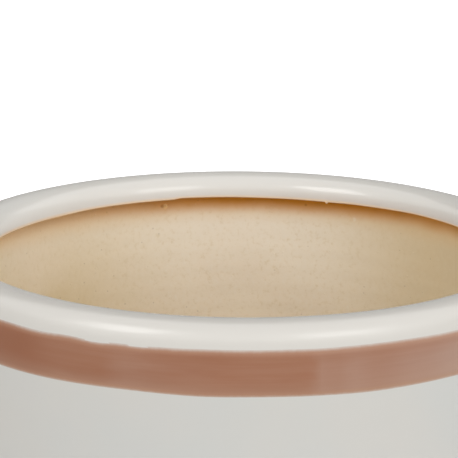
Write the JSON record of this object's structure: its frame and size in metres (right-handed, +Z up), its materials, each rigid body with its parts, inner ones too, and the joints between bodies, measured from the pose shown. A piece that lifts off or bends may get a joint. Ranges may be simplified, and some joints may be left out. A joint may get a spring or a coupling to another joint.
{
  "type": "plant pot",
  "caption": "Round glazed plant pot with a rolled-in lip, a painted band below it, a plugged drain hole, a lift-out drain screen and a padded foot ring.",
  "frame": {"origin": "on the pot's axis, on the surface that it stands on", "axes": "+Z up along the pot's axis, +X to the right and -Y to the front of the pictured view"},
  "size_m": [0.194, 0.194, 0.165],
  "materials": {
    "bare_clay": "unglazed fired cream clay",
    "white_glaze": "gloss off-white glaze",
    "band_paint": "satin brushed brown band",
    "plug_rubber": "moulded rubber",
    "screen_plastic": "moulded mesh",
    "pad_rubber": "matt rubber pad"
  },
  "bodies": {
    "pot": {"clay_body": "bare_clay", "glaze_coat": "white_glaze", "painted_band": "band_paint", "foot_pad_1": "pad_rubber", "foot_pad_2": "pad_rubber", "foot_pad_3": "pad_rubber", "foot_pad_4": "pad_rubber"},
    "plug": {"drain_plug": "plug_rubber"},
    "screen": {"drain_screen": "screen_plastic"}
  },
  "joints": [
    {"name": "plug_pull", "type": "slide", "parent": "pot", "child": "plug", "axis": [0, 0, -1], "range_m": [0, 0.04]},
    {"name": "screen_lift", "type": "slide", "parent": "pot", "child": "screen", "axis": [0, 0, 1], "range_m": [0, 0.165]}
  ]
}
